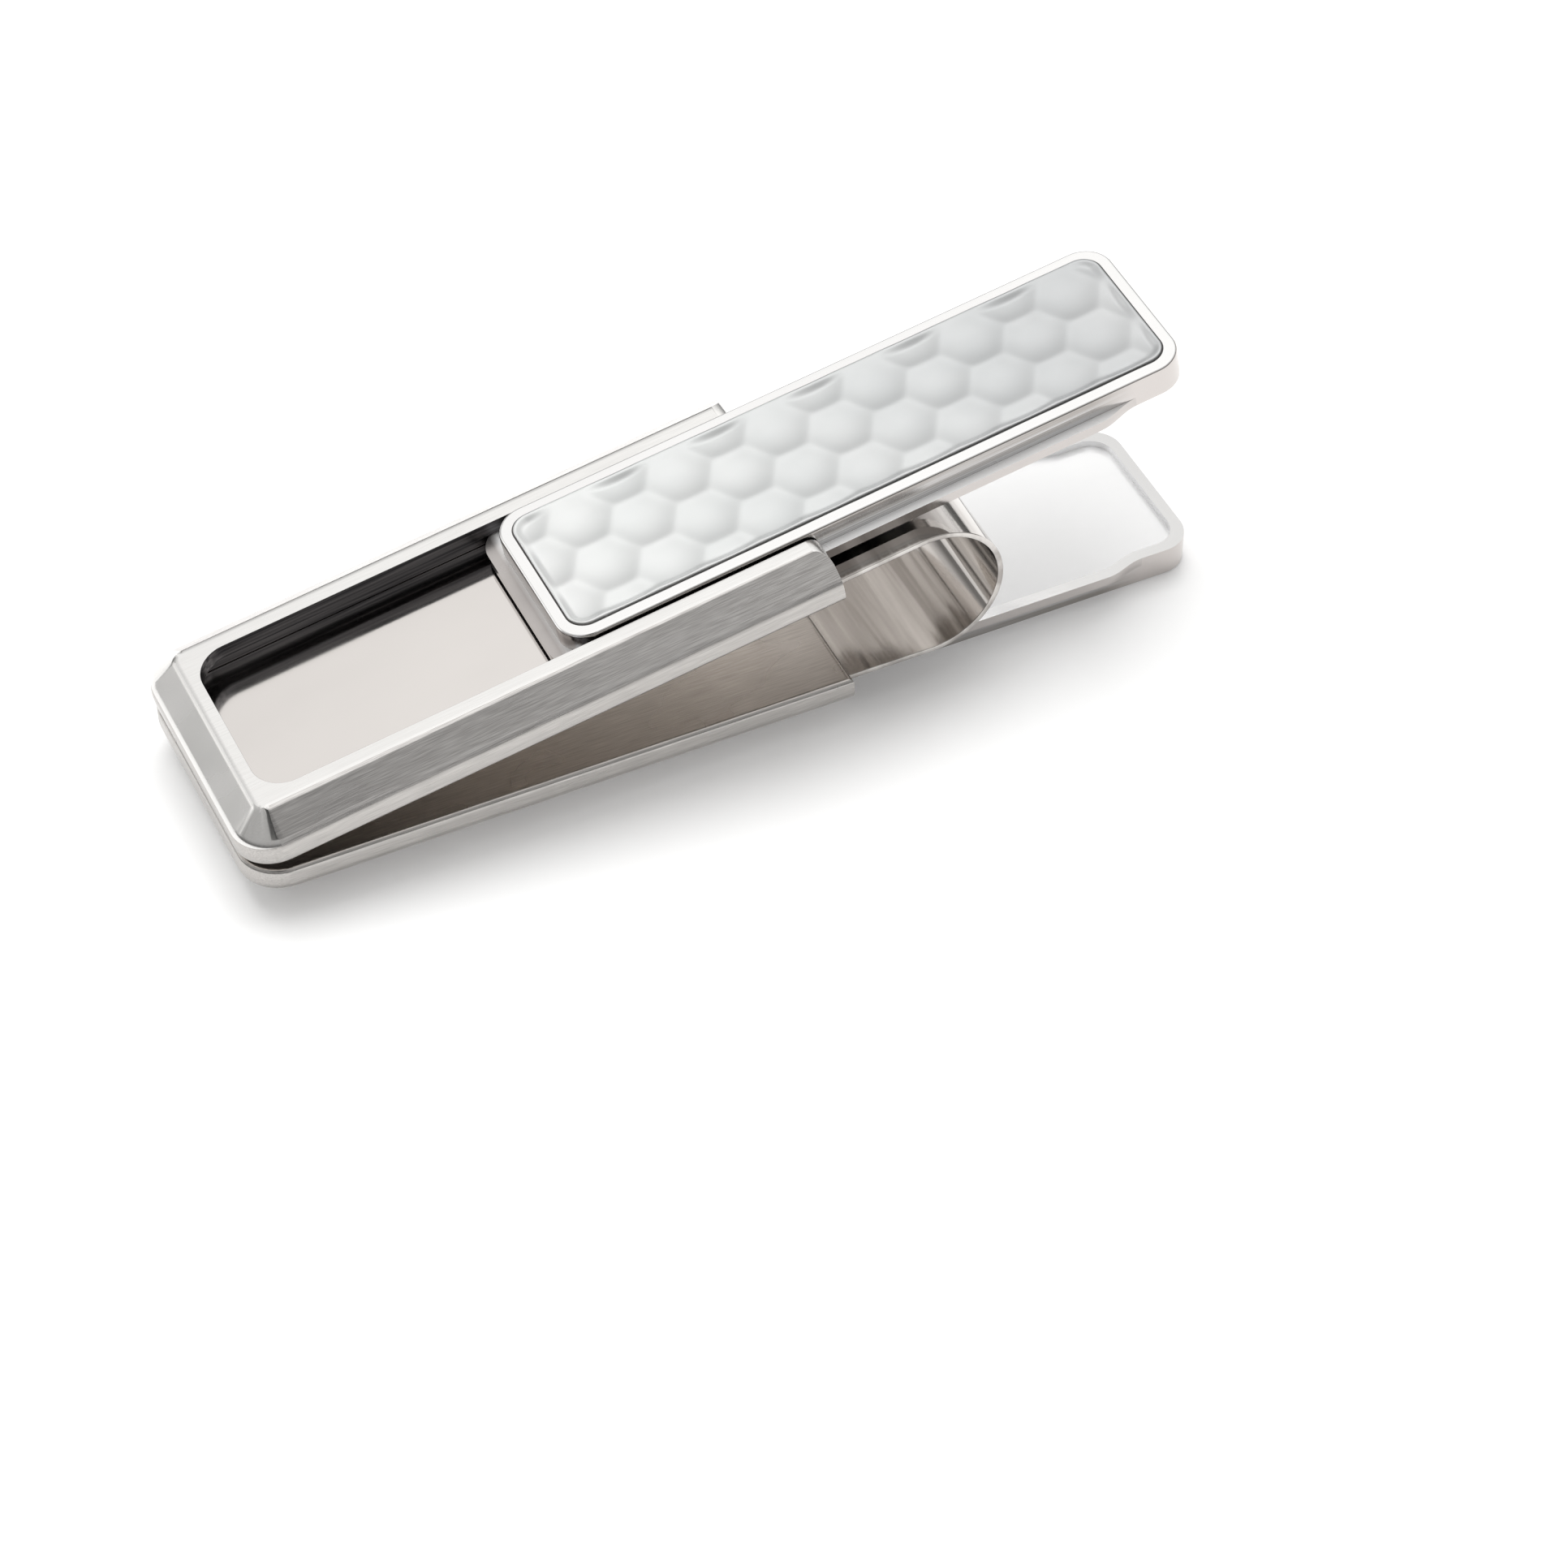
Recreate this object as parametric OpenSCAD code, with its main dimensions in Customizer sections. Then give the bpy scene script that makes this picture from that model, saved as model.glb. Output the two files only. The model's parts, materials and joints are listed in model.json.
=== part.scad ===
// Sliding-arm money clip.
// Two channel-shaped jaws are joined by one U-bent spring band. An arm slides along the outside
// of each jaw: slid out past the bend, the pair of arms is the lever that opens the tips.
// A jaw is drawn flat, with x from its tip, y across, and z outward from its inner face.

/* [Jaws] */
// Width of the clip over its jaws
jaw_w = 22; // [20:0.5:24]
// Length of a jaw from its tip to its open end
jaw_len = 47.5; // [44:0.5:52]
// Height of a jaw from its inner face to its rim
jaw_h = 3.72; // [3.6:0.02:4.2]
// Height of the upright band at the foot of a jaw
band_h = 1.85; // [1.7:0.05:2.0]
// Width of the jaw over its rim
rim_w = 17.3; // [17:0.1:18]
// Width of the window that the arm runs in
window_w = 14.8; // [14.7:0.1:15]
// Distance from the tip to the window
window_start = 3.4; // [3.3:0.1:3.8]
// Corner radius of the window
window_r = 2.6; // [2:0.1:3]
// Rounding of the edge round the inner face
foot_r = 0.4; // [0.2:0.05:0.5]
// Angle between the two jaws
jaw_angle = 9.8; // [8:0.1:11]
// Gap between the inner faces at the tips
tip_gap = 0.35; // [0.2:0.05:0.6]
// Thickness of the plate under the spring's leg
plate_t = 0.58; // [0.5:0.02:0.6]

/* [Spring] */
// Width of the spring band
spring_w = 19.8; // [19:0.1:20]
// Thickness of the spring band
spring_t = 0.45; // [0.4:0.01:0.46]
// Distance from the tip to the middle of the bend
bend_x = 54.5; // [53:0.1:56]

/* [Arms] */
// Length of an arm
arm_len = 50.7; // [48:0.1:52]
// Travel of an arm from slid in to slid out
arm_travel = 23.9; // [20:0.1:24]
// Width of the arm's raised head
head_w = 14.46; // [14.2:0.02:14.5]
// Corner radius of the arm's head
head_r = 2.4; // [2:0.1:2.5]
// Width of the arm's flange, which runs under the jaw's lips
flange_w = 16; // [15.6:0.1:16.4]
// Length of the flange beyond the inner end of the head
flange_lead = 1.1; // [0.8:0.1:1.1]
// Height of the arm's head above the jaw's rim
head_proud = 0.4; // [0.2:0.1:0.5]
// Width of the head's rim round the inlay
head_rim = 0.93; // [0.8:0.01:1.2]

/* [Inlay] */
// Depth of the pocket for the inlay
pocket_d = 1.3; // [1.1:0.1:1.4]
// Height of the upper inlay above its rim
inlay_proud = 0.25; // [0:0.05:0.4]
// Thickness of the glue under and round an inlay
bond_t = 0.12; // [0.08:0.02:0.16]

/* [Hidden] */
$fn = 64;

// Running clearance between an arm and its jaw
fit = 0.1;
// Slack round the spring's leg
leg_slack = 0.05;
// Cutters run past the faces they cut by this much
over = 1;

// Jaw sections, as half widths and heights above the inner face
slant = (jaw_w - rim_w) / 2;
rim_corner_r = 0.9;
foot_corner_r = rim_corner_r + slant;
leg_z0 = plate_t + 0.02;
leg_z1 = leg_z0 + spring_t;
flange_z0 = leg_z1 + 0.55;
flange_z1 = flange_z0 + 0.8;
lip_z = flange_z1 + fit;
head_z = jaw_h + head_proud;
leg_start = window_start - 0.4;
end_top_r = 1.1;
end_foot_r = 0.5;

// Arm, at its slid-out place
arm_x0 = window_start + 0.2 + arm_travel;
arm_x1 = arm_x0 + arm_len;
block_x = arm_x1 - 4.6;
flange_x0 = arm_x0 - flange_lead;
flange_end = arm_x1 - 7.9;
recess_rim = 0.9;
recess_z = flange_z0 + 0.6;
pocket_half = head_w / 2 - head_rim;
pocket_r = head_r - 0.8;
pocket_z = head_z - pocket_d;

// Bend of the spring: its middle lies on the plane that halves the angle between the jaws
half_angle = jaw_angle / 2;
leg_end = bend_x * cos(half_angle);
bend_depth = tip_gap / 2 + bend_x * sin(half_angle);
bend_r0 = bend_depth + leg_z0;
bend_r1 = bend_depth + leg_z1;

// Fixings, pressed into the plate from the channel side, short of the inner face
fixing_z = 0.2;
stud_r = 1.0;
shank_r = 0.7;
shank_slack = 0.02;
stud_x = flange_x0 + recess_rim + stud_r + 0.1;
stud_top = recess_z - 0.1;
rivet_r = 0.9;
rivet_y = 5.5;
rivet_x = [36, 43];
drag_len = 12;
drag_w = 3;
drag_t = 0.1;
drag_y = 4.2;
drag_x = arm_x0 + 10.5;

// Whole clip
x_mid = (arm_x1 - (band_h + tip_gap / 2) * sin(jaw_angle)) / 2;

// Moves a flat jaw or its arm to the lower place, face down on z = 0
module in_lower() {
    translate([-x_mid, 0, head_z]) mirror([0, 0, 1]) children();
}

// Moves a flat jaw or its arm to the upper place, tilted about the tips
module in_upper() {
    translate([-x_mid, 0, head_z + tip_gap / 2]) rotate([0, -jaw_angle, 0])
        translate([0, 0, tip_gap / 2]) children();
}

// Rectangle from x0 to x1 with rounded corners
module round_rect(x0, x1, half, r) {
    translate([x0 + r, -half]) square([x1 - x0 - 2 * r, 2 * half]);
    translate([x0, r - half]) square([x1 - x0, 2 * (half - r)]);
    for (x = [x0 + r, x1 - r], y = [r - half, half - r]) translate([x, y]) circle(r);
}

// Flat-bottomed slab of an outline, from z0 to z1
module slab(z0, z1) {
    translate([0, 0, z0]) linear_extrude(z1 - z0) children();
}

// Half section of a jaw's outside: rounded foot, upright band, slanted side and rim
function jaw_edge(reach) = concat(
    [for (a = [0 : 15 : 90]) [reach - foot_r + foot_r * sin(a), foot_r * (1 - cos(a))]],
    [[reach, band_h], [reach - slant, jaw_h]]);

module jaw_outside() {
    half = jaw_w / 2;
    straight_y = half - foot_corner_r;
    side = jaw_edge(half);
    mirrored = [for (i = [len(side) - 1 : -1 : 0]) [-side[i][0], side[i][1]]];
    translate([foot_corner_r, 0, 0]) rotate([90, 0, 90]) linear_extrude(jaw_len - foot_corner_r)
        polygon(concat(side, mirrored));
    translate([foot_corner_r, straight_y, 0]) rotate([90, 0, 0]) linear_extrude(2 * straight_y)
        polygon(concat([[over, 0]], [for (p = jaw_edge(foot_corner_r)) [-p[0], p[1]]], [[over, jaw_h]]));
    for (y = [-straight_y, straight_y]) translate([foot_corner_r, y, 0]) rotate_extrude()
        polygon(concat([[0, 0]], jaw_edge(foot_corner_r), [[0, jaw_h]]));
}

// Side outline of the open end: rounded at the rim and at the foot
module end_outline() {
    translate([-over, -over]) square([jaw_len - end_top_r + over, jaw_h + 2 * over]);
    translate([0, end_foot_r]) square([jaw_len, jaw_h - end_top_r - end_foot_r]);
    translate([jaw_len - end_top_r, jaw_h - end_top_r]) circle(end_top_r);
    translate([jaw_len - end_foot_r, end_foot_r]) circle(end_foot_r);
    translate([0, 0]) square([jaw_len - end_foot_r, jaw_h - end_top_r]);
}

module frame() {
    past_end = jaw_len + over;
    difference() {
        intersection() {
            jaw_outside();
            translate([0, jaw_w, 0]) rotate([90, 0, 0]) linear_extrude(2 * jaw_w) end_outline();
        }
        slab(plate_t, leg_z1 + leg_slack)
            round_rect(leg_start - leg_slack, past_end + over, spring_w / 2 + leg_slack, 1);
        slab(plate_t + leg_slack, lip_z)
            round_rect(window_start - flange_lead, past_end + 2 * head_r, flange_w / 2 + fit, head_r);
        slab(lip_z - fit, jaw_h + over)
            round_rect(window_start, past_end + 2 * window_r, window_w / 2, window_r);
        fixing_bores(0);
    }
}

// Holes for the leg rivets and the stop stud: blind in the plate, through the leg
module fixing_bores(slack) {
    for (x = rivet_x, y = [-rivet_y, rivet_y])
        translate([x, y, fixing_z]) cylinder(r = rivet_r + slack, h = leg_z1 + over);
    translate([stud_x, 0, fixing_z]) cylinder(r = shank_r + slack, h = leg_z1 + over);
}

module leg() {
    difference() {
        slab(leg_z0, leg_z1) union() {
            round_rect(leg_start, leg_start + 8, spring_w / 2, 2.6);
            translate([leg_start + 4, -spring_w / 2]) square([leg_end - leg_start - 4, spring_w]);
        }
        fixing_bores(shank_slack);
    }
}

// The whole band, drawn in the lower jaw's place: leg, round bend and the other leg
module band() {
    far = 3 * bend_r1;
    leg();
    translate([leg_end, 0, -bend_depth]) {
        difference() {
            rotate([90, 0, 0]) cylinder(r = bend_r1, h = spring_w, center = true, $fn = 96);
            rotate([90, 0, 0]) cylinder(r = bend_r0, h = spring_w + 2 * over, center = true, $fn = 96);
            translate([-far, -spring_w, 0]) cube([far, 2 * spring_w, far]);
            rotate([0, jaw_angle, 0]) translate([-far, -spring_w, -far]) cube([far, 2 * spring_w, far]);
        }
        rotate([0, jaw_angle, 0]) mirror([0, 0, 1]) translate([-leg_end, 0, bend_depth]) leg();
    }
}

module jaw_colour() {
    color([0.72, 0.71, 0.69]) children();
}

module lower_frame() { jaw_colour() in_lower() frame(); }
module upper_frame() { jaw_colour() in_upper() frame(); }

module spring_band() { color([0.82, 0.81, 0.8]) in_lower() band(); }

module leg_rivets() {
    color([0.7, 0.69, 0.67]) for (x = rivet_x, y = [-rivet_y, rivet_y])
        translate([x, y, fixing_z]) cylinder(r = rivet_r, h = leg_z1 - fixing_z);
}

module lower_leg_rivets() { in_lower() leg_rivets(); }
module upper_leg_rivets() { in_upper() leg_rivets(); }

module stop_stud() {
    color([0.6, 0.6, 0.58]) translate([stud_x, 0, 0]) {
        translate([0, 0, fixing_z]) cylinder(r = shank_r, h = leg_z1 + shank_slack - fixing_z);
        translate([0, 0, leg_z1 + shank_slack]) cylinder(r = stud_r, h = stud_top - leg_z1 - shank_slack);
    }
}

module lower_stop_stud() { in_lower() stop_stud(); }
module upper_stop_stud() { in_upper() stop_stud(); }

// Half of an S-curve that narrows the flange to the head's width over its last stretch
function flange_half(t) = (flange_w + head_w) / 4 + (flange_w - head_w) / 4 * cos(180 * t);

module flange_outline(inset) {
    half = flange_w / 2 - inset;
    curve = [for (t = [0 : 0.1 : 1]) [flange_end + t * (block_x - flange_end), flange_half(t) - inset]];
    round_rect(flange_x0 + inset, flange_end, half, head_r - inset / 2);
    translate([flange_end - 5, -half]) square([5, 2 * half]);
    polygon(concat(curve, [for (i = [len(curve) - 1 : -1 : 0]) [curve[i][0], -curve[i][1]]]));
    round_rect(block_x - 5, arm_x1 - inset, head_w / 2 - inset, head_r - inset / 2);
}

module head_outline() {
    round_rect(arm_x0, arm_x1, head_w / 2, head_r);
}

// Outline of the pocket for an inlay, drawn in by the given amount
module pocket_outline(inset) {
    round_rect(arm_x0 + head_rim + inset, arm_x1 - head_rim - inset, pocket_half - inset, pocket_r - inset);
}

module slide() {
    difference() {
        union() {
            slab((flange_z0 + flange_z1) / 2, head_z) head_outline();
            slab(flange_z0, flange_z1) flange_outline(0);
        }
        slab(flange_z0 - over, recess_z) flange_outline(recess_rim);
        slab(pocket_z, head_z + over) pocket_outline(0);
    }
}

module lower_slide() { color([0.85, 0.84, 0.83]) in_lower() slide(); }
module upper_slide() { color([0.85, 0.84, 0.83]) in_upper() slide(); }

// Bowed leaf springs in the arm's recess that press on the spring's leg
module drag_springs() {
    bow = recess_z - leg_z1 - 0.02 - drag_t;
    bow_r = (pow(drag_len / 2, 2) + pow(bow, 2)) / (2 * bow);
    color([0.55, 0.55, 0.53]) for (y = [-drag_y, drag_y])
        translate([drag_x, y + drag_w / 2, leg_z1 + 0.02]) rotate([90, 0, 0]) linear_extrude(drag_w)
            polygon([for (side = [0, 1], i = [-8 : 8])
                let (x = (side == 0 ? i : -i) / 8 * drag_len / 2)
                [x, bow_r - sqrt(pow(bow_r, 2) - pow(x, 2)) + side * drag_t]]);
}

module lower_drag_springs() { in_lower() drag_springs(); }
module upper_drag_springs() { in_upper() drag_springs(); }

// Tray of glue that fills the pocket under and round an inlay
module bond() {
    color([0.35, 0.24, 0.16]) difference() {
        slab(pocket_z, head_z - 0.1) pocket_outline(0);
        slab(pocket_z + bond_t, head_z + over) pocket_outline(bond_t);
    }
}

module insert(top) {
    slab(pocket_z + bond_t, top) pocket_outline(bond_t);
}

module lower_plate() { color([0.75, 0.74, 0.72]) in_lower() insert(head_z); }
module lower_plate_bond() { in_lower() bond(); }
module upper_inlay() { color([0.9, 0.92, 0.9]) in_upper() insert(head_z + inlay_proud); }
module upper_inlay_bond() { in_upper() bond(); }

lower_frame();
upper_frame();
spring_band();
lower_leg_rivets();
upper_leg_rivets();
lower_stop_stud();
upper_stop_stud();
lower_slide();
upper_slide();
lower_drag_springs();
upper_drag_springs();
lower_plate();
lower_plate_bond();
upper_inlay();
upper_inlay_bond();
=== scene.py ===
import json
import math
import bmesh
import bpy
import numpy as np
from mathutils import Matrix, Vector


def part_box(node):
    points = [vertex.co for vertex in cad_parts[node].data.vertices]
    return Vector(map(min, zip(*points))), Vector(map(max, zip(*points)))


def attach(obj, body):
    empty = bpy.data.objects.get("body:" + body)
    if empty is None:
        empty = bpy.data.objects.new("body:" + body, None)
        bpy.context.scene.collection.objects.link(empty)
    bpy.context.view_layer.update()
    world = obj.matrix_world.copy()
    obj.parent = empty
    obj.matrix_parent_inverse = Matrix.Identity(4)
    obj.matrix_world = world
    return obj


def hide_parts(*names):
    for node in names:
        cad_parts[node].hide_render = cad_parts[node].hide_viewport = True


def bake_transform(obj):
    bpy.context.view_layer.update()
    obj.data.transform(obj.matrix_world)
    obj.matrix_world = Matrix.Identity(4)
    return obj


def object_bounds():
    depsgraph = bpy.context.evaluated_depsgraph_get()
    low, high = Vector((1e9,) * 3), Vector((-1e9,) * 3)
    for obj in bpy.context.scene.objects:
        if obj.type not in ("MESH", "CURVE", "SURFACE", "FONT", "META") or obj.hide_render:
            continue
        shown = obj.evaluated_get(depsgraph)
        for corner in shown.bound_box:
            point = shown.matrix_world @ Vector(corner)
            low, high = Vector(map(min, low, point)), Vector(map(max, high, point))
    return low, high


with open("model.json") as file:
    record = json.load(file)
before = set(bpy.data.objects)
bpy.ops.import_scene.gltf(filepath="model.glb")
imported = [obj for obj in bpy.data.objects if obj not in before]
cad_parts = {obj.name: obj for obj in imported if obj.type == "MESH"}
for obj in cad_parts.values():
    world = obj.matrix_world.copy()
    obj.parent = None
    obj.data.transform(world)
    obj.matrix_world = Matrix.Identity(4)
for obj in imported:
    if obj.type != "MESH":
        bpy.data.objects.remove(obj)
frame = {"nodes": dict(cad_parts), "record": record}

# A money clip of polished and brushed steel: two jaws on a bent spring band, with an arm that slides
# in each jaw and a dimpled inlay on the upper arm.

cad_lo, cad_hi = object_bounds()
MM = 0.001

# ---------------------------------------------------------------- places of the two jaws
# A jaw is described flat: x from its tip, y across, z outward from its inner face.
joints = {j["name"]: j for j in frame["record"]["behaviour"]["joints"]}
slide_axis = Vector(joints["upper_arm_slide"]["axis"])
JAW_ANGLE = math.atan2(slide_axis.z, slide_axis.x)
frame_lo, frame_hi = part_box("lower_frame")
plate_lo, plate_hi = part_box("lower_plate")
inlay_lo, inlay_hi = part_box("upper_inlay")
slide_lo, slide_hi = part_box("lower_slide")
spring_lo, spring_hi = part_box("spring_band")

TIP_X = frame_lo.x
FACE_Z = frame_hi.z
TO_LOWER = Matrix.Translation((TIP_X, 0, FACE_Z)) @ Matrix.Diagonal((1, 1, -1, 1))
INLAY_X0 = plate_lo.x - TIP_X
INLAY_X1 = plate_hi.x - TIP_X
INLAY_BASE = FACE_Z - plate_hi.z
RIM_HEIGHT = FACE_Z - plate_lo.z
# the upper inlay stands above its rim, so its thickness comes from the length of its tilted box
INLAY_THICK = (inlay_hi.x - inlay_lo.x - (INLAY_X1 - INLAY_X0) * math.cos(JAW_ANGLE)) / math.sin(JAW_ANGLE)
turn = Matrix.Rotation(-JAW_ANGLE, 4, "Y")
corner = Vector((inlay_lo.x, 0, inlay_lo.z + INLAY_THICK * math.cos(JAW_ANGLE)))
TO_UPPER = Matrix.Translation(corner - turn @ Vector((INLAY_X0, 0, INLAY_BASE + INLAY_THICK))) @ turn
PLACES = {"lower": TO_LOWER, "upper": TO_UPPER}


# ---------------------------------------------------------------- material helpers
class Nodes:
    """Short way to write a material's node tree. Lengths in it are in metres."""

    def __init__(self, name):
        self.mat = bpy.data.materials.new(name)
        self.mat.use_nodes = True
        self.tree = self.mat.node_tree
        self.shader = self.tree.nodes["Principled BSDF"]
        self.coord = self.tree.nodes.new("ShaderNodeTexCoord").outputs["Object"]

    def add(self, kind, inputs=(), **settings):
        node = self.tree.nodes.new(kind)
        for key, value in settings.items():
            setattr(node, key, value)
        for key, value in dict(inputs).items():
            self.put(node.inputs[key], value)
        return node

    def put(self, socket, value):
        if isinstance(value, bpy.types.NodeSocket):
            self.tree.links.new(value, socket)
        else:
            socket.default_value = value

    def set(self, **inputs):
        for key, value in inputs.items():
            self.put(self.shader.inputs[key.replace("_", " ")], value)

    def noise(self, scale, stretch=(1, 1, 1), detail=3.0):
        """Noise with features of about 1/scale, longer along an axis where stretch is under 1."""
        mapped = self.add("ShaderNodeMapping", {"Vector": self.coord, "Scale": stretch})
        return self.add("ShaderNodeTexNoise", {"Vector": mapped.outputs[0], "Scale": scale,
                                               "Detail": detail, "Roughness": 0.55}).outputs["Fac"]

    def ramp(self, value, low, high, from_low=0.3, from_high=0.7):
        return self.add("ShaderNodeMapRange", {"Value": value, "From Min": from_low, "From Max": from_high,
                                               "To Min": low, "To Max": high}).outputs[0]

    def mix(self, factor, a, b):
        node = self.add("ShaderNodeMix", data_type="RGBA")
        self.put(node.inputs[0], factor)
        self.put(node.inputs[6], a)
        self.put(node.inputs[7], b)
        return node.outputs[2]

    def weighted(self, a, share_a, b, share_b):
        """Sum of two values, each times its share."""
        part = self.add("ShaderNodeMath", {0: a, 1: share_a}, operation="MULTIPLY").outputs[0]
        return self.add("ShaderNodeMath", {0: b, 1: share_b, 2: part}, operation="MULTIPLY_ADD").outputs[0]

    def along_x(self):
        return self.add("ShaderNodeSeparateXYZ", {"Vector": self.coord}).outputs["X"]

    def bump(self, height, distance):
        node = self.add("ShaderNodeBump", {"Height": height, "Distance": distance, "Strength": 1.0})
        self.put(self.shader.inputs["Normal"], node.outputs[0])


def rgba(r, g, b):
    return (r, g, b, 1)


def drawn_out(share, along="x"):
    """Stretch that draws noise out along one axis."""
    return (share, 1, 1) if along == "x" else (1, share, 1)


def brushed(name, light, dark, roughness, lines=15000, depth=0.000003, along="x", spread=0.14):
    """Metal brushed along one axis: long fine lines in colour and height, and a slow change of gloss.
    A wider spread makes the lines fainter."""
    n = Nodes(name)
    fine = n.noise(lines, drawn_out(0.03, along), 1.0)
    coarse = n.noise(lines * 0.5, drawn_out(0.02, along), 2.0)
    blotch = n.noise(150, (0.6, 1, 1), 2.0)
    both = n.weighted(fine, 0.7, coarse, 0.3)
    colour = n.mix(n.ramp(both, 0, 1, 0.5 - spread, 0.5 + spread), dark, light)
    n.set(Base_Color=colour, Metallic=1.0, Roughness=n.ramp(blotch, roughness * 0.85, roughness * 1.15))
    n.bump(both, depth)
    return n.mat


def polished(name, colour, roughness, metallic=1.0):
    """Polished metal with faint wipe marks and hairline scratches."""
    n = Nodes(name)
    smear = n.noise(160, (0.5, 1, 1), 4.0)
    hair = n.noise(6000, drawn_out(0.03), 2.0)
    tint = n.mix(n.ramp(smear, 0, 1), tuple(c * 0.96 for c in colour[:3]) + (1,), colour)
    n.set(Base_Color=tint, Metallic=metallic, Roughness=n.ramp(smear, roughness * 0.7, roughness * 1.4))
    n.bump(hair, 0.0000004)
    return n.mat


def spring_steel(name):
    """Polished strip with soft streaks and hairlines across it. The streaks' dark and light tones are
    painted reflection, and their slight relief is from the forming of its bend.
    """
    n = Nodes(name)
    broad = n.noise(420, drawn_out(0.05, "y"), 3.0)
    fine = n.noise(5000, drawn_out(0.02, "y"), 2.0)
    # painted reflection: dark and light streaks in the colour, darker than the legs' steel
    tone = n.mix(n.ramp(broad, 0, 1, 0.42, 0.60), rgba(0.42, 0.395, 0.375), rgba(0.64, 0.615, 0.59))
    n.set(Base_Color=tone, Metallic=1.0, Roughness=n.ramp(fine, 0.06, 0.13))
    n.bump(broad, 0.00002)
    return n.mat


def arm_wall(name, plain_from, plain_to):
    """Side of an arm's head: brushed in streaks along the head, and plain round its free end."""
    n = Nodes(name)
    broad = n.noise(1900, drawn_out(0.0015), 2.0)
    fine = n.noise(9000, drawn_out(0.006), 2.0)
    both = n.weighted(broad, 0.6, fine, 0.4)
    streaks = n.mix(n.ramp(both, 0, 1, 0.40, 0.60), rgba(0.40, 0.375, 0.355), rgba(0.70, 0.705, 0.715))
    end = n.ramp(n.along_x(), 0, 1, plain_from, plain_to)
    n.set(Base_Color=n.mix(end, streaks, rgba(0.62, 0.585, 0.565)), Metallic=1.0,
          Roughness=n.ramp(broad, 0.16, 0.24))
    n.bump(both, 0.000002)
    return n.mat


def ledge(name, dark_to, highlight_from):
    """Polished ledge round an arm's head: plain metal ahead of it, and a painted highlight along its sides,
    white and less metallic.
    """
    n = Nodes(name)
    smear = n.noise(160, (0.5, 1, 1), 4.0)
    # painted highlight: past the second x the ledge's colour turns white and its metal turns partly diffuse
    side_highlight_share = n.ramp(n.along_x(), 0, 1, dark_to, highlight_from)
    n.set(Base_Color=n.mix(side_highlight_share, rgba(0.56, 0.53, 0.515), rgba(1.0, 1.0, 1.0)),
          Metallic=n.ramp(side_highlight_share, 1.0, 0.35, 0, 1), Roughness=n.ramp(smear, 0.20, 0.40))
    return n.mat


def pearl(name):
    """Satin pearly surface: faint clouds of tone, a soft sheen, and painted shade as a slow darkening
    towards the free end.
    """
    n = Nodes(name)
    cloud = n.noise(110, (1, 1, 1), 3.0)
    grain = n.noise(500, (0.7, 1, 1), 2.0)
    near = n.mix(n.ramp(cloud, 0, 1), rgba(0.84, 0.86, 0.855), rgba(0.89, 0.90, 0.895))
    # painted shade: a darker copy of the pearl's tones, blended in along the inlay towards its free end
    far_painted_shade = n.mix(n.ramp(cloud, 0, 1), rgba(0.62, 0.635, 0.645), rgba(0.70, 0.71, 0.715))
    base = n.mix(n.ramp(n.along_x(), 0, 1, INLAY_X0 + 0.006, INLAY_X1), near, far_painted_shade)
    n.set(Base_Color=base, Metallic=0.80, Roughness=n.ramp(grain, 0.36, 0.41))
    return n.mat


def resin(name):
    """Dark glue with a cloudy tone and a slightly uneven surface."""
    n = Nodes(name)
    cloud = n.noise(700, (1, 1, 1), 3.0)
    n.set(Base_Color=n.mix(n.ramp(cloud, 0, 1), rgba(0.05, 0.045, 0.045), rgba(0.11, 0.10, 0.095)),
          Roughness=n.ramp(cloud, 0.25, 0.4))
    n.bump(cloud, 0.00002)
    return n.mat


# ---------------------------------------------------------------- materials
# the jaws
SIDE = brushed("steel_side_brushed", rgba(0.88, 0.86, 0.84), rgba(0.58, 0.56, 0.545), 0.27,
               lines=19000, depth=0.0000015)
RIM = brushed("steel_rim_satin", rgba(0.98, 0.97, 0.955), rgba(0.92, 0.91, 0.895), 0.26, depth=0.0000008)
BAND = brushed("steel_band_satin", rgba(0.55, 0.53, 0.51), rgba(0.43, 0.415, 0.40), 0.27, depth=0.0000012)
TIP = brushed("steel_tip_satin", rgba(0.80, 0.79, 0.775), rgba(0.76, 0.75, 0.735), 0.26,
              depth=0.0000004, spread=0.3)
CORNER = brushed("steel_corner_satin", rgba(0.80, 0.79, 0.775), rgba(0.76, 0.75, 0.735), 0.15,
                 depth=0.0000004)
FACE = brushed("steel_face_brushed", rgba(0.72, 0.68, 0.645), rgba(0.55, 0.52, 0.49), 0.28, depth=0.0000015)
# painted shade: the steel of the channel inside the jaw, where the arm slides, is coloured near-black for
# the shade in that gap
CHANNEL = brushed("steel_channel", rgba(0.20, 0.195, 0.20), rgba(0.06, 0.06, 0.065), 0.3, lines=4000)
CHANNEL_END = brushed("steel_channel_end", rgba(0.20, 0.195, 0.20), rgba(0.06, 0.06, 0.065), 0.3,
                      lines=4000, along="y")
# the arms
MIRROR = polished("steel_mirror", rgba(0.99, 0.985, 0.98), 0.10)
RECESS = polished("steel_recess", rgba(0.98, 0.98, 0.985), 0.22, metallic=0.6)
RECESS_RIM = polished("steel_recess_rim", rgba(0.84, 0.835, 0.83), 0.10)
SKIRT = polished("steel_skirt", rgba(0.58, 0.548, 0.53), 0.12)
# the flange runs out into the head's side 3.5 mm before the inlay's free end
ARM_WALL = arm_wall("steel_arm_wall", INLAY_X1 - 0.007, INLAY_X1 - 0.0035)
# the ledge's painted highlight along the head's sides starts just ahead of the inlay
LEDGE = ledge("steel_ledge", INLAY_X0 - 0.0014, INLAY_X0 - 0.0008)
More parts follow.
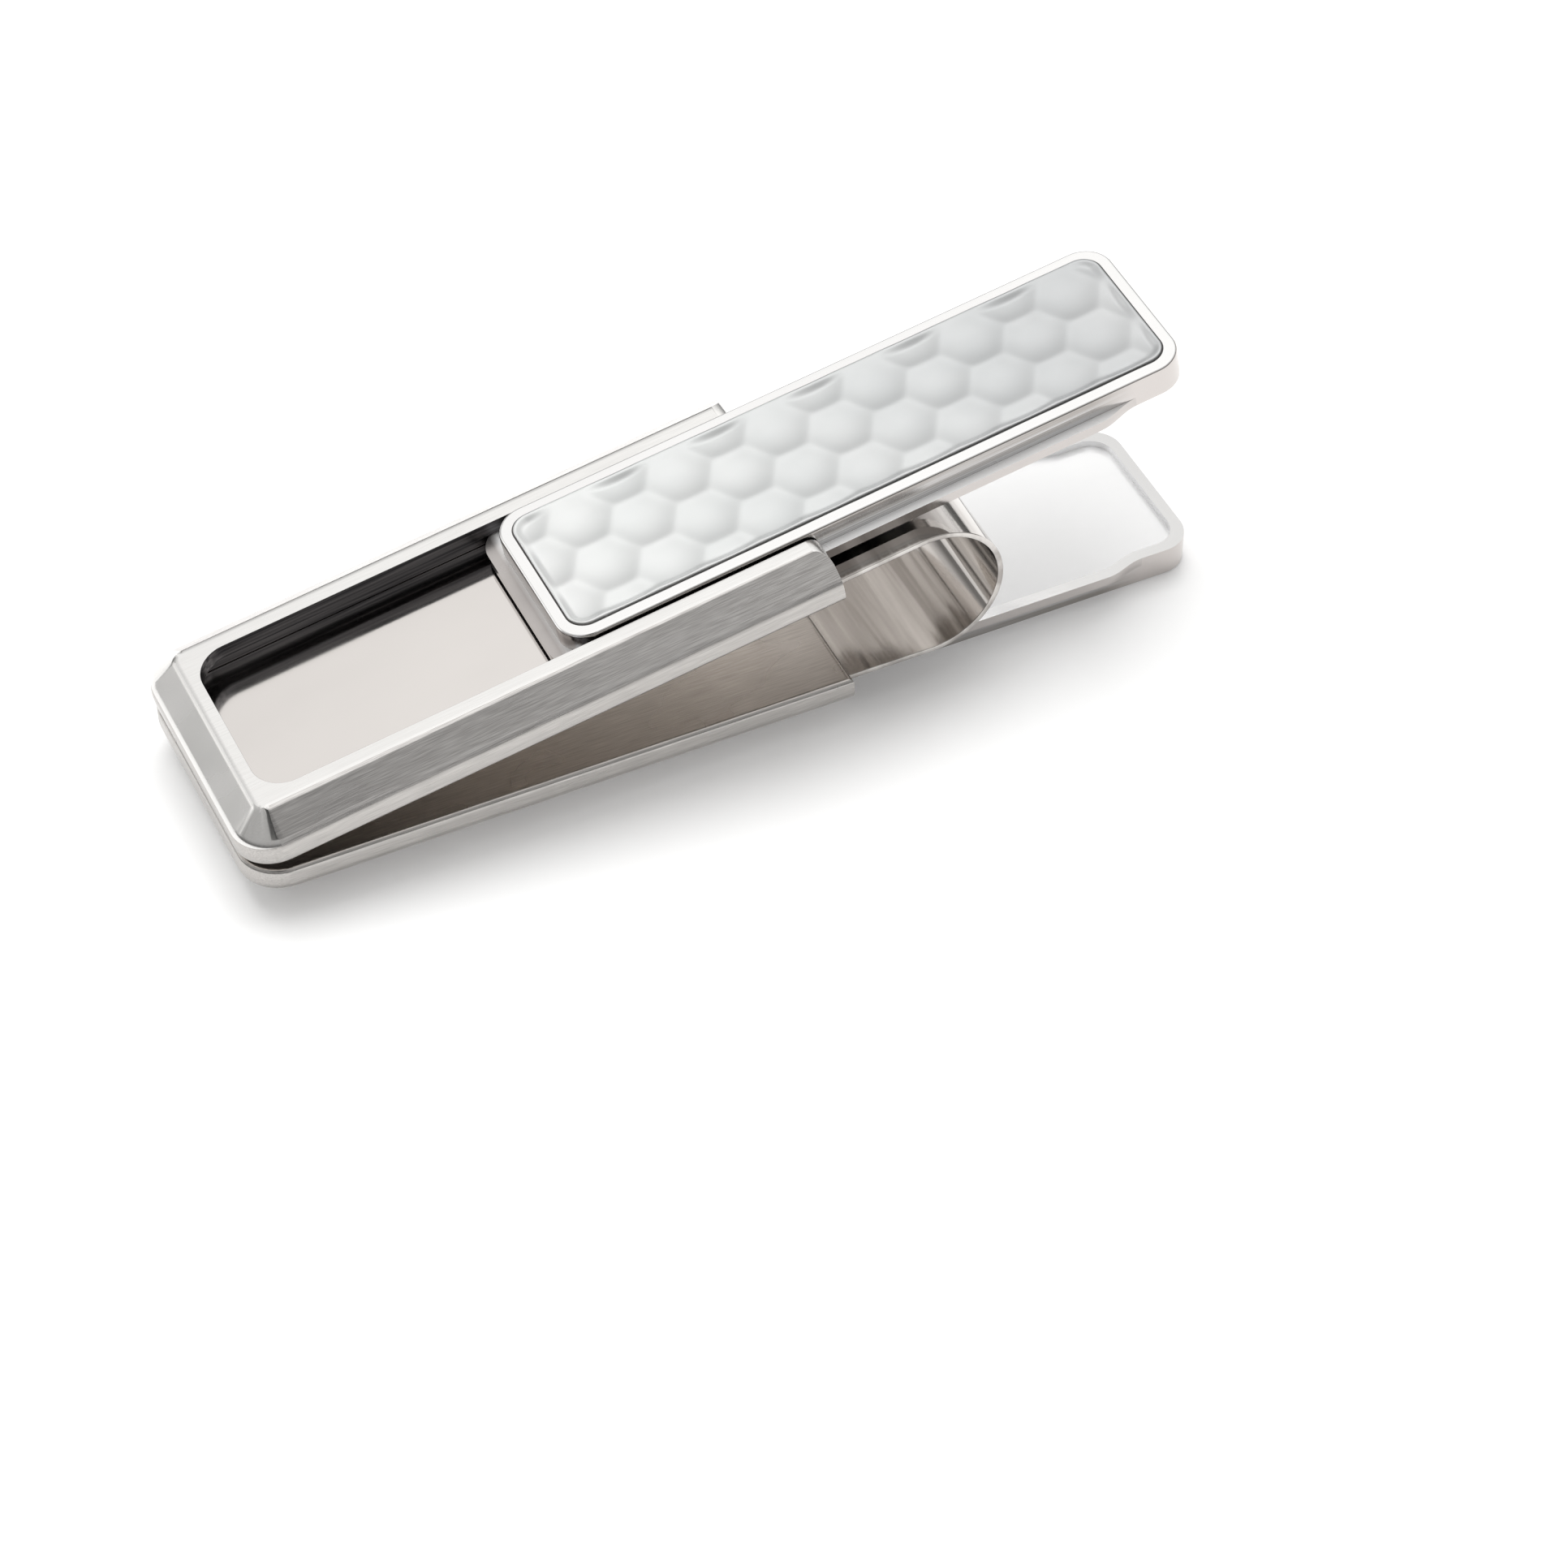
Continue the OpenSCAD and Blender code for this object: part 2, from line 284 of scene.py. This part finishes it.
# the spring, the inlay, its glue, and pieces that hardly show
LEG = polished("steel_leg", rgba(0.80, 0.765, 0.74), 0.10)
SPRING = spring_steel("steel_spring")
PEARL = pearl("inlay_pearl")
RESIN = resin("bond_resin")
PLAIN = brushed("steel_hidden", rgba(0.6, 0.59, 0.57), rgba(0.5, 0.49, 0.47), 0.35)

# ---------------------------------------------------------------- mesh helpers
WELD = 2e-7
FLAT_ANGLE = math.radians(0.6)
EDGE_ANGLE = math.radians(26)


def add_object(name, bm, place, materials):
    """Turns a bmesh into an object at its place and its materials."""
    mesh = bpy.data.meshes.new(name)
    bm.to_mesh(mesh)
    bm.free()
    for mat in materials:
        mesh.materials.append(mat)
    obj = bpy.data.objects.new(name, mesh)
    bpy.context.scene.collection.objects.link(obj)
    obj.matrix_world = place
    return obj


def even_normals(obj):
    normals = obj.modifiers.new("normals", "WEIGHTED_NORMAL")
    normals.keep_sharp = True


def clone(node, place, pick, materials, body, passes):
    """A copy of a CAD node in its jaw's own coordinates, with a material for each kind of face and
    rounded edges. Each pass rounds the edges that pass its test of their middle and whether they are
    convex: its width in millimetres, its count of faces, and whether the width gives way where edges
    are short."""
    bm = bmesh.new()
    bm.from_mesh(frame["nodes"][node].data)
    bm.transform(place.inverted())
    bmesh.ops.remove_doubles(bm, verts=bm.verts, dist=WELD)
    bmesh.ops.recalc_face_normals(bm, faces=bm.faces)
    bmesh.ops.dissolve_limit(bm, angle_limit=FLAT_ANGLE, verts=bm.verts, edges=bm.edges)
    for f in bm.faces:
        f.material_index = materials.index(pick(f.calc_center_median() / MM, f.normal))
    for test, width, segments, gives in passes:
        edges = [e for e in bm.edges
                 if e.is_manifold and e.calc_face_angle(0) > EDGE_ANGLE
                 and test((e.verts[0].co + e.verts[1].co) / 2 / MM, e.is_convex)]
        bmesh.ops.bevel(bm, geom=edges, offset=width * MM, offset_type="OFFSET", segments=segments,
                        profile=0.5, affect="EDGES", clamp_overlap=gives, material=-1)
    for f in bm.faces:
        f.smooth = True
    obj = add_object(node + "_shape", bm, place, materials)
    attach(obj, body)
    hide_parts(node)
    even_normals(obj)


# ---------------------------------------------------------------- jaws
JAW_LEN = (frame_hi.x - TIP_X) / MM
JAW_HALF = frame_hi.y / MM
JAW_H = 3.72        # height of the rim above the inner face
BAND_H = 1.85       # height of the upright band under the slanted sides
RIM_HALF = 8.65     # half of the rim's width
RIM_TIP = JAW_HALF - RIM_HALF
OPEN_END = 1.2      # length of the rounded corners at the open end


def frame_face(c, n):
    """Material of a jaw's face, from the face's middle and its normal."""
    if n.z > 0.9 and c.z > JAW_H - 0.2:
        return RIM
    if n.z < -0.9 and c.z < 0.1:
        return FACE
    if c.x > JAW_LEN - OPEN_END and n.x > 0.2:
        return RIM if n.z > 0.2 else BAND
    beside = c.y * n.y > 0 and abs(c.y) > RIM_HALF - 0.1
    ahead = n.x < -0.05 and c.x < RIM_TIP + 0.2
    # faces that are neither beside nor ahead of the rim lie inside the jaw and get the channel's painted
    # shade
    if not (beside or ahead):
        return CHANNEL_END if abs(n.x) > 0.7 else CHANNEL
    if n.z <= 0.3:
        return BAND
    if abs(n.x) > 0.06 and abs(n.y) > 0.06:
        return CORNER
    return TIP if abs(n.x) > 0.3 else SIDE


def outside_jaw(m):
    return (abs(m.y) > RIM_HALF - 0.05 or m.x < RIM_TIP + 0.3) and m.x < JAW_LEN - OPEN_END - 0.05


def rim_edge(m, convex):
    """The outer edge of the rim, where the slanted sides start."""
    return outside_jaw(m) and m.z > JAW_H - 0.03


def band_edge(m, convex):
    """The edge between the slanted sides and the upright band."""
    return outside_jaw(m) and abs(m.z - BAND_H) < 0.03


def any_edge(m, convex):
    return True


FRAME_MATS = [RIM, SIDE, BAND, FACE, TIP, CHANNEL, CORNER, CHANNEL_END]
FRAME_PASSES = ((rim_edge, 0.34, 5, False), (band_edge, 0.60, 6, False), (any_edge, 0.09, 3, True))

# ---------------------------------------------------------------- arms
ARM_RIM = 0.93      # width of the rim round the inlay
BOND = 0.12         # width of the glue line round the inlay
HEAD_CORNER = 2.4   # corner radius of the head
HEAD_TOP = RIM_HEIGHT / MM
HEAD_HALF = plate_hi.y / MM + ARM_RIM + BOND
HEAD_X0 = INLAY_X0 / MM - ARM_RIM - BOND
HEAD_X1 = INLAY_X1 / MM + ARM_RIM + BOND
ARM_MIDDLE = HEAD_X0 + 20
FLANGE_FOOT = HEAD_TOP - (slide_hi.z - slide_lo.z) / MM
FLANGE_TOP = FLANGE_FOOT + 0.8
RECESS_TOP = FLANGE_FOOT + 0.6


def slide_face(c, n):
    """Material of an arm's face, from the face's middle and its normal."""
    if n.z > 0.9:
        return LEDGE if c.z < HEAD_TOP - 0.5 else MIRROR
    if n.z < -0.9:
        return RECESS if c.z > FLANGE_FOOT + 0.3 else RECESS_RIM
    if abs(n.z) < 0.5 and c.z > FLANGE_TOP:
        return SKIRT if n.x < -0.7 else ARM_WALL
    inside = c.y * n.y < -0.1 or (c.x - ARM_MIDDLE) * n.x < -0.1
    return RECESS if inside and c.z < RECESS_TOP else SKIRT


def head_edge(m, convex):
    """The outer edge of the head's top."""
    corner_x = max(HEAD_X0 + HEAD_CORNER - m.x, m.x - HEAD_X1 + HEAD_CORNER, 0)
    corner_y = max(abs(m.y) - HEAD_HALF + HEAD_CORNER, 0)
    on_corner = corner_x > 0 and corner_y > 0 and math.hypot(corner_x, corner_y) > HEAD_CORNER - 0.4
    on_side = abs(m.y) > HEAD_HALF - 0.1 or m.x < HEAD_X0 + 0.1 or m.x > HEAD_X1 - 0.1
    return m.z > HEAD_TOP - 0.05 and (on_side or on_corner)


def cove_edge(m, convex):
    """The inner corners where the head meets its flange and where the recess meets its wall."""
    return not convex and (abs(m.z - FLANGE_TOP) < 0.05 or abs(m.z - RECESS_TOP) < 0.05)


SLIDE_MATS = [MIRROR, ARM_WALL, LEDGE, SKIRT, RECESS, RECESS_RIM]
SLIDE_PASSES = ((cove_edge, 0.40, 4, True), (head_edge, 0.22, 4, True), (any_edge, 0.10, 3, True))

for where, place in PLACES.items():
    clone(where + "_frame", place, frame_face, FRAME_MATS, where + "_jaw", FRAME_PASSES)
    clone(where + "_slide", place, slide_face, SLIDE_MATS, where + "_arm", SLIDE_PASSES)

# ---------------------------------------------------------------- inlay with dimples
DIMPLE_COLUMN = 4.05    # spacing of the columns, each second one shifted by half a row
DIMPLE_ROW = 5.0
COLUMNS = range(-2, 14)
ROWS = range(-3, 4)
FIRST_COLUMN = 5.75     # centre of column 0, from the head's end
FIRST_ROW = 3.17
DIMPLE_RADIUS = 7.8     # radius of the ball that would press a dimple
CELL_REACH = 2.80       # from a dimple's centre to the highest ridges
RIDGE_SHARP = 10.0      # higher makes the ridges between dimples sharper
EDGE_CALM = 0.8         # width of the zone at the edge where the dimples fade
EDGE_SHARE = 0.12       # share of their depth that is left at the edge itself
EASED_EDGE = 0.07
INLAY_CORNER = 1.5
GRID_STEP = 0.15
TOP_CLEARANCE = 0.02


def dimple_depth(x, y):
    """Depth below the highest ridges: the nearest dimple's ball, with rounded ridges between them."""
    total = np.zeros_like(x)
    for column in COLUMNS:
        cx = HEAD_X0 + FIRST_COLUMN + column * DIMPLE_COLUMN
        shift = 0 if column % 2 == 0 else DIMPLE_ROW / 2
        for row in ROWS:
            cy = FIRST_ROW + row * DIMPLE_ROW - shift
            total += np.exp(-RIDGE_SHARP * ((x - cx) ** 2 + (y - cy) ** 2) / (2 * DIMPLE_RADIUS))
    low = -np.log(total) / RIDGE_SHARP
    return np.clip(CELL_REACH ** 2 / (2 * DIMPLE_RADIUS) - low, 0, None)


def make_inlay():
    """Dimpled top on a grid fitted to the rounded outline, with an eased edge, sides and a flat base."""
    x0, x1 = INLAY_X0 / MM, INLAY_X1 / MM
    half = plate_hi.y / MM
    top, base = (INLAY_BASE + INLAY_THICK) / MM - TOP_CLEARANCE, INLAY_BASE / MM
    r = INLAY_CORNER
    xs = np.linspace(x0, x1, int((x1 - x0) / GRID_STEP) + 1)
    ys = np.linspace(-half, half, int(2 * half / GRID_STEP) + 1)

    def rounded(px, py):
        """Moves a point in the square grid's corner so that the outline is rounded."""
        qx = max(x0 + r - px, px - (x1 - r), 0.0)
        qy = max(abs(py) - (half - r), 0.0)
        if qx <= 0 or qy <= 0:
            return px, py
        k = max(qx, qy) / math.hypot(qx, qy)
        to_x = x1 - r + qx * k if px > (x0 + x1) / 2 else x0 + r - qx * k
        return to_x, math.copysign(half - r + qy * k, py)

    flat = np.array([[rounded(gx, gy) for gy in ys] for gx in xs])
    gx, gy = np.meshgrid(xs, ys, indexing="ij")
    near = np.minimum(np.minimum(gx - x0, x1 - gx), half - np.abs(gy))
    calm = np.clip(near / EDGE_CALM, 0, 1)
    depth = dimple_depth(flat[..., 0], flat[..., 1])
    depth = depth * (EDGE_SHARE + (1 - EDGE_SHARE) * calm * calm * (3 - 2 * calm))
    t = np.clip(1 - near / EASED_EDGE, 0, 1)
    depth = depth + EASED_EDGE * 0.6 * (1 - np.sqrt(1 - t * t))

    bm = bmesh.new()
    last_i, last_j = len(xs) - 1, len(ys) - 1
    grid = [[bm.verts.new((flat[i, j, 0] * MM, flat[i, j, 1] * MM, (top - depth[i, j]) * MM))
             for j in range(last_j + 1)] for i in range(last_i + 1)]
    for i in range(last_i):
        for j in range(last_j):
            f = bm.faces.new((grid[i][j], grid[i + 1][j], grid[i + 1][j + 1], grid[i][j + 1]))
            f.smooth = True
    ring = ([grid[i][0] for i in range(last_i + 1)]
            + [grid[last_i][j] for j in range(1, last_j + 1)]
            + [grid[i][last_j] for i in range(last_i - 1, -1, -1)]
            + [grid[0][j] for j in range(last_j - 1, 0, -1)])
    low = [bm.verts.new((v.co.x, v.co.y, base * MM)) for v in ring]
    for k in range(len(ring)):
        after = (k + 1) % len(ring)
        bm.faces.new((ring[after], ring[k], low[k], low[after]))
    bm.faces.new(list(reversed(low)))
    bmesh.ops.recalc_face_normals(bm, faces=bm.faces)
    obj = add_object("dimpled_inlay", bm, TO_UPPER, [PEARL])
    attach(obj, "upper_arm")
    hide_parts("upper_inlay")


make_inlay()

# ---------------------------------------------------------------- spring band
SPRING_THICK = 0.45
STRIP_EDGE = 0.06       # rounding of the strip's long edges
LEG_CORNER = 2.6        # corner radius at the ends of its legs
SEAM_INSIDE = 2.0       # where a leg meets the bend, inside the jaw's open end


def band_strip(name, points, place, material):
    """Solid strip along a side outline. Each point is (x, z) along its middle, with half its width."""
    bm = bmesh.new()
    e = STRIP_EDGE
    h = SPRING_THICK / 2
    n = len(points)
    rows = []
    for i, (px, pz, half) in enumerate(points):
        a = points[max(i - 1, 0)]
        b = points[min(i + 1, n - 1)]
        t = Vector((b[0] - a[0], 0, b[1] - a[1])).normalized()
        normal = Vector((-t.z, 0, t.x))
        section = [(-half + e, h), (-half + e * 0.3, h - e * 0.3), (-half, h - e), (-half, e - h),
                   (-half + e * 0.3, e * 0.3 - h), (-half + e, -h)]
        cross = section + [(-y, z) for y, z in reversed(section)]
        rows.append([bm.verts.new((Vector((px, y, pz)) + normal * z) * MM) for y, z in cross])
    m = len(rows[0])
    for i in range(n - 1):
        for k in range(m):
            f = bm.faces.new((rows[i][k], rows[i][(k + 1) % m], rows[i + 1][(k + 1) % m], rows[i + 1][k]))
            f.smooth = True
    bm.faces.new(rows[0])
    bm.faces.new(list(reversed(rows[-1])))
    bmesh.ops.recalc_face_normals(bm, faces=bm.faces)
    obj = add_object(name, bm, place, [material])
    even_normals(obj)
    return obj


def make_spring():
    """A leg that rides with each jaw, and a bend that is blended between the two."""
    half = spring_hi.y / MM
    leg_mid = (FACE_Z - spring_lo.z) / MM - SPRING_THICK / 2
    start = (spring_lo.x - TIP_X) / MM
    seam = JAW_LEN - SEAM_INSIDE

    outline = []
    for i in range(9):
        a = math.radians(90 * i / 8)
        outline.append((start + LEG_CORNER * (1 - math.cos(a)), leg_mid,
                        half - LEG_CORNER * (1 - math.sin(a))))
    outline += [(start + LEG_CORNER + k, leg_mid, half)
                for k in np.linspace(1, seam - start - LEG_CORNER, 12)]
    for where, place in PLACES.items():
        leg = band_strip(where + "_spring_leg", outline, place, LEG)
        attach(leg, where + "_jaw")
        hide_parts("spring_band")

    # the bend's middle radius and centre follow from the legs' spacing, their angle and the bend's far side
    h = JAW_ANGLE / 2
    gap = (TO_UPPER.translation - TO_LOWER.translation).length / MM
    right = (spring_hi.x - TIP_X) / MM
    base = leg_mid + gap / 2
    reach = (right - base - SPRING_THICK / 2) / (math.cos(h) + math.sin(h))
    radius = base + reach * math.sin(h)
    centre_x = reach * math.cos(h)
    centre_z = FACE_Z / MM + gap / 2 + reach * math.sin(h)
    tip_x = TIP_X / MM
    z_low = FACE_Z / MM - leg_mid
    bend = [(tip_x + x, z_low, half) for x in np.linspace(seam, centre_x, 10)[:-1]]
    for a in np.linspace(-90.0, 90.0 + math.degrees(JAW_ANGLE), 65):
        t = math.radians(a)
        bend.append((tip_x + centre_x + radius * math.cos(t), centre_z + radius * math.sin(t), half))
    end = TO_UPPER @ Vector((seam * MM, 0, leg_mid * MM)) / MM
    last_x, last_z, _ = bend[-1]
    for t in np.linspace(0, 1, 10)[1:]:
        bend.append((last_x + (end.x - last_x) * t, last_z + (end.z - last_z) * t, half))
    obj = band_strip("spring_bend", bend, Matrix.Identity(4), SPRING)
    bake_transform(obj)
    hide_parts("spring_band")


make_spring()

# ---------------------------------------------------------------- pieces kept from the CAD
KEPT = {"lower_plate": RIM, "lower_plate_bond": RESIN, "upper_inlay_bond": RESIN}
for node, obj in frame["nodes"].items():
    if not obj.hide_render:
        obj.data.materials.clear()
        obj.data.materials.append(KEPT.get(node, PLAIN))

# ---------------------------------------------------------------- floor
scene = bpy.context.scene
scene.view_settings.view_transform = "Standard"
scene.view_settings.look = "None"
FLOOR_HALF = 3.0


def make_floor():
    mesh = bpy.data.meshes.new("floor")
    corners = [(x * FLOOR_HALF, y * FLOOR_HALF, cad_lo.z) for x, y in ((-1, -1), (1, -1), (1, 1), (-1, 1))]
    mesh.from_pydata(corners, [], [(0, 1, 2, 3)])
    obj = bpy.data.objects.new("floor", mesh)
    scene.collection.objects.link(obj)
    n = Nodes("floor_paper")
    cloud = n.noise(3, (1, 1, 1), 2.0)
    n.set(Base_Color=n.mix(cloud, rgba(0.93, 0.93, 0.93), rgba(0.94, 0.94, 0.94)), Roughness=0.9,
          Emission_Color=rgba(1, 1, 1), Emission_Strength=0.10)
    mesh.materials.append(n.mat)


make_floor()

# ---------------------------------------------------------------- camera
AZIMUTH = math.radians(-25.468)
ELEVATION = math.radians(46.185)
DISTANCE = 0.36846
AIM = Vector((0.97, -14.8, 0)) * MM
UP = Vector((0, 0, 1))
AWAY = Vector((-math.sin(AZIMUTH), math.cos(AZIMUTH), 0))
RIGHT = Vector((math.cos(AZIMUTH), math.sin(AZIMUTH), 0))
BACK = UP * math.sin(ELEVATION) - AWAY * math.cos(ELEVATION)


def place_and_aim(obj, where, line):
    """Links a camera or light at its place, looking along a line."""
    scene.collection.objects.link(obj)
    obj.location = where
    obj.rotation_mode = "QUATERNION"
    obj.rotation_quaternion = line.to_track_quat("-Z", "Y")


cam_data = bpy.data.cameras.new("camera")
cam_data.lens = 115.40
cam_data.sensor_width = 36
cam_data.clip_start, cam_data.clip_end = 0.01, 50
camera = bpy.data.objects.new("camera", cam_data)
place_and_aim(camera, AIM + BACK * DISTANCE, -BACK)
scene.camera = camera

# ---------------------------------------------------------------- light
# One large soft light above makes the shadow. Metal doesn't reflect it, but only the sky and the floor.
key_data = bpy.data.lights.new("key", "AREA")
key_data.shape = "RECTANGLE"
key_data.size, key_data.size_y = 0.60, 0.50
key_data.energy = 3.9
key = bpy.data.objects.new("key", key_data)
key_place = AWAY * 0.24 - RIGHT * 0.08 + UP * 0.66
place_and_aim(key, key_place, -key_place)
key.visible_glossy = False

# The sky brightens towards a point high on the far side: (how far towards it, level).
SKY_AXIS = AWAY * 0.34 + UP * 0.94
SKY = ((0.0, 0.42), (0.45, 0.50), (0.66, 0.56), (0.84, 0.84), (0.95, 1.06))
# A reflector low on the far left lights the tip, and a dark card high on the near side draws the line
# down a jaw's corner.
REFLECTOR = Vector((-0.75, 0.625, 0.212)).normalized()
CARD = Vector((-0.25, -0.50, 0.83)).normalized()

world = bpy.data.worlds.new("studio")
scene.world = world
world.use_nodes = True
tree = world.node_tree
direction = tree.nodes.new("ShaderNodeTexCoord").outputs["Generated"]


def sky_along(axis):
    """How far the sky's direction goes along an axis."""
    dot = tree.nodes.new("ShaderNodeVectorMath")
    dot.operation = "DOT_PRODUCT"
    dot.inputs[1].default_value = axis
    tree.links.new(direction, dot.inputs[0])
    return dot.outputs["Value"]


def shade(colour, axis, values, levels):
    """Scales a colour from the first level to the second between two values along an axis."""
    scale = tree.nodes.new("ShaderNodeMapRange")
    scale.interpolation_type = "SMOOTHSTEP"
    tree.links.new(sky_along(axis), scale.inputs["Value"])
    for key, value in zip(("From Min", "From Max", "To Min", "To Max"), values + levels):
        scale.inputs[key].default_value = value
    product = tree.nodes.new("ShaderNodeVectorMath")
    product.operation = "MULTIPLY"
    tree.links.new(colour, product.inputs[0])
    tree.links.new(scale.outputs[0], product.inputs[1])
    return product.outputs[0]


ramp = tree.nodes.new("ShaderNodeValToRGB")
ramp.color_ramp.interpolation = "EASE"
while len(ramp.color_ramp.elements) < len(SKY):
    ramp.color_ramp.elements.new(0.5)
for stop, (position, level) in zip(ramp.color_ramp.elements, SKY):
    stop.position = position
    stop.color = rgba(level, level * 0.995, level * 0.985)
tree.links.new(sky_along(SKY_AXIS), ramp.inputs[0])
sky = shade(ramp.outputs[0], UP, (0.02, 0.42), (0.22, 1.0))
sky = shade(sky, REFLECTOR, (0.90, 0.985), (1.0, 2.9))
sky = shade(sky, CARD, (0.955, 0.988), (1.0, 0.10))
tree.links.new(sky, tree.nodes["Background"].inputs["Color"])
